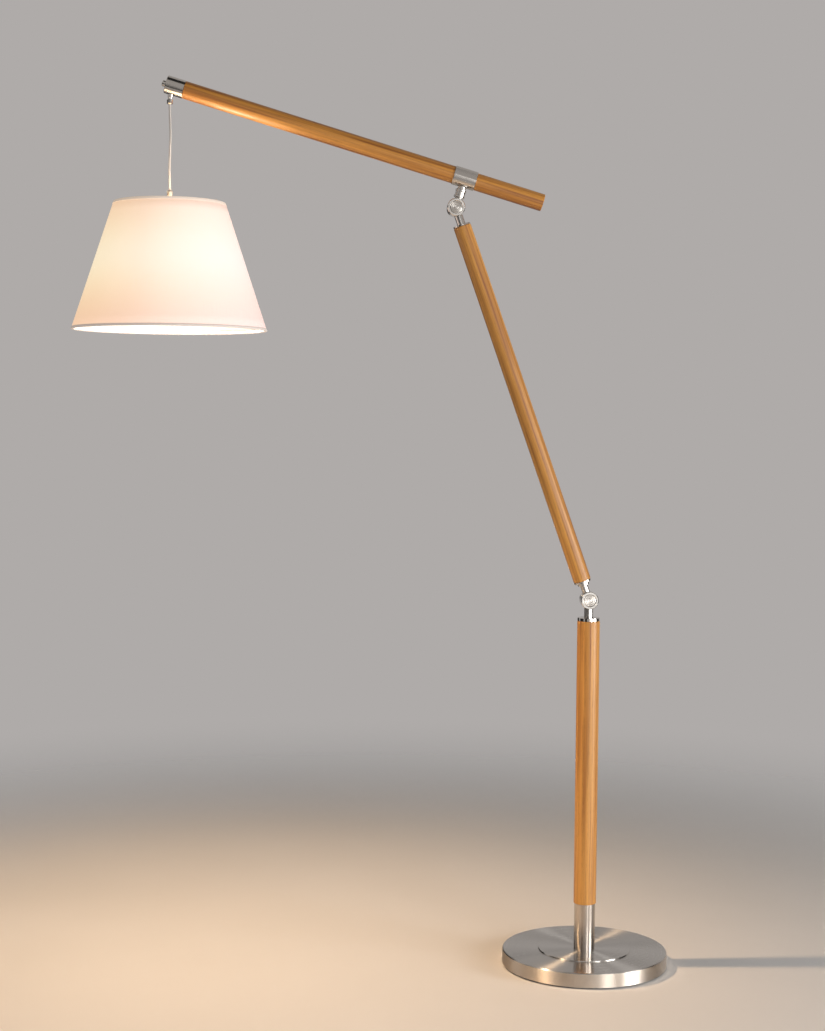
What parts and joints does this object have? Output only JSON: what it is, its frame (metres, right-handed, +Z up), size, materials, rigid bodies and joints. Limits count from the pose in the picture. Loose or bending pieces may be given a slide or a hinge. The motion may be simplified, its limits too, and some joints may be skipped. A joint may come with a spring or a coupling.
{
  "type": "floor lamp",
  "caption": "Floor lamp with a weighted round base, jointed wooden poles, a tilting boom and a hanging fabric shade.",
  "frame": {"origin": "centre of the underside of the base pad, on the floor", "axes": "+Z up; the arms lie in the XZ plane with the boom towards -X; the knuckle faces look to -Y and +Y"},
  "size_m": [1.188, 0.3808, 1.7567],
  "materials": {
    "brushed_nickel": "brushed",
    "polished_nickel": "polished",
    "wood": "satin lacquer",
    "cast_weight": "rough cast",
    "rubber": "matte",
    "brass": "machined",
    "cord": "clear over silver",
    "holder_plastic": "matte",
    "shade_cloth": "woven linen",
    "hem_cloth": "woven tape",
    "bulb": "opal"
  },
  "bodies": {
    "stand": {"base_cover": "brushed_nickel", "base_weight": "cast_weight", "base_pad": "rubber", "inlet_bush": "rubber", "tie_rod": "brass", "tie_washer": "polished_nickel", "tie_nut": "brass", "post_tube": "brushed_nickel", "tube_plugs": "brass", "lower_insert": "brass", "lower_pole": "wood", "lower_pole_cap": "polished_nickel", "lower_nipple": "brass", "lower_wire": "cord", "lower_knuckle_base": "polished_nickel", "lower_knuckle_bolt": "polished_nickel", "lower_knuckle_nut": "polished_nickel", "lower_friction_washer": "rubber", "lower_rear_face_cap": "polished_nickel"},
    "mid_arm": {"lower_knuckle_arm": "polished_nickel", "lower_front_face_cap": "polished_nickel", "lock_ring": "polished_nickel", "mid_nipples": "brass", "mid_pole_bottom_cap": "polished_nickel", "mid_pole": "wood", "mid_pole_top_cap": "polished_nickel", "mid_wire": "cord", "upper_knuckle_base": "polished_nickel", "upper_knuckle_bolt": "polished_nickel", "upper_knuckle_nut": "polished_nickel", "upper_friction_washer": "rubber", "upper_rear_face_cap": "polished_nickel"},
    "boom": {"upper_knuckle_arm": "polished_nickel", "upper_front_face_cap": "polished_nickel", "lock_collar": "polished_nickel", "sleeve_nipple": "brass", "boom_sleeve": "brushed_nickel", "boom_pole": "wood", "boom_end_cap": "brushed_nickel", "end_cap_knob": "polished_nickel", "boom_wire": "cord", "hanger_fork": "polished_nickel", "hanger_pin": "polished_nickel"},
    "hanger": {"hanger_gland": "polished_nickel"},
    "pendant": {"cord_stop": "polished_nickel", "pendant_cord": "cord", "cord_grip": "polished_nickel", "lampholder": "holder_plastic", "shade_ring": "holder_plastic", "shade_frame": "polished_nickel", "shade_fabric": "shade_cloth", "shade_bottom_wire": "polished_nickel", "shade_hems": "hem_cloth", "bulb_cap": "polished_nickel", "bulb_glass": "bulb"}
  },
  "joints": [
    {"name": "lower_knuckle", "type": "hinge", "parent": "stand", "child": "mid_arm", "pos_m": [0, 0, 0.737], "axis": [0, 1, 0], "range_deg": [-25, 20]},
    {"name": "upper_knuckle", "type": "hinge", "parent": "mid_arm", "child": "boom", "pos_m": [-0.27372, 0, 1.50997], "axis": [0, 1, 0], "range_deg": [-35, 14]},
    {"name": "hanger_turn", "type": "hinge", "parent": "boom", "child": "hanger", "pos_m": [-0.83247, 0, 1.71511], "axis": [0, 1, 0], "range_deg": [-14, 35]},
    {"name": "pendant_turn", "type": "hinge", "parent": "hanger", "child": "pendant", "pos_m": [-0.83247, 0, 1.70536], "axis": [0, 1, 0], "range_deg": [-20, 25]}
  ],
  "couplings": [
    {"joint": "pendant_turn", "follows": "lower_knuckle", "ratio": -1},
    {"joint": "hanger_turn", "follows": "upper_knuckle", "ratio": -1}
  ]
}
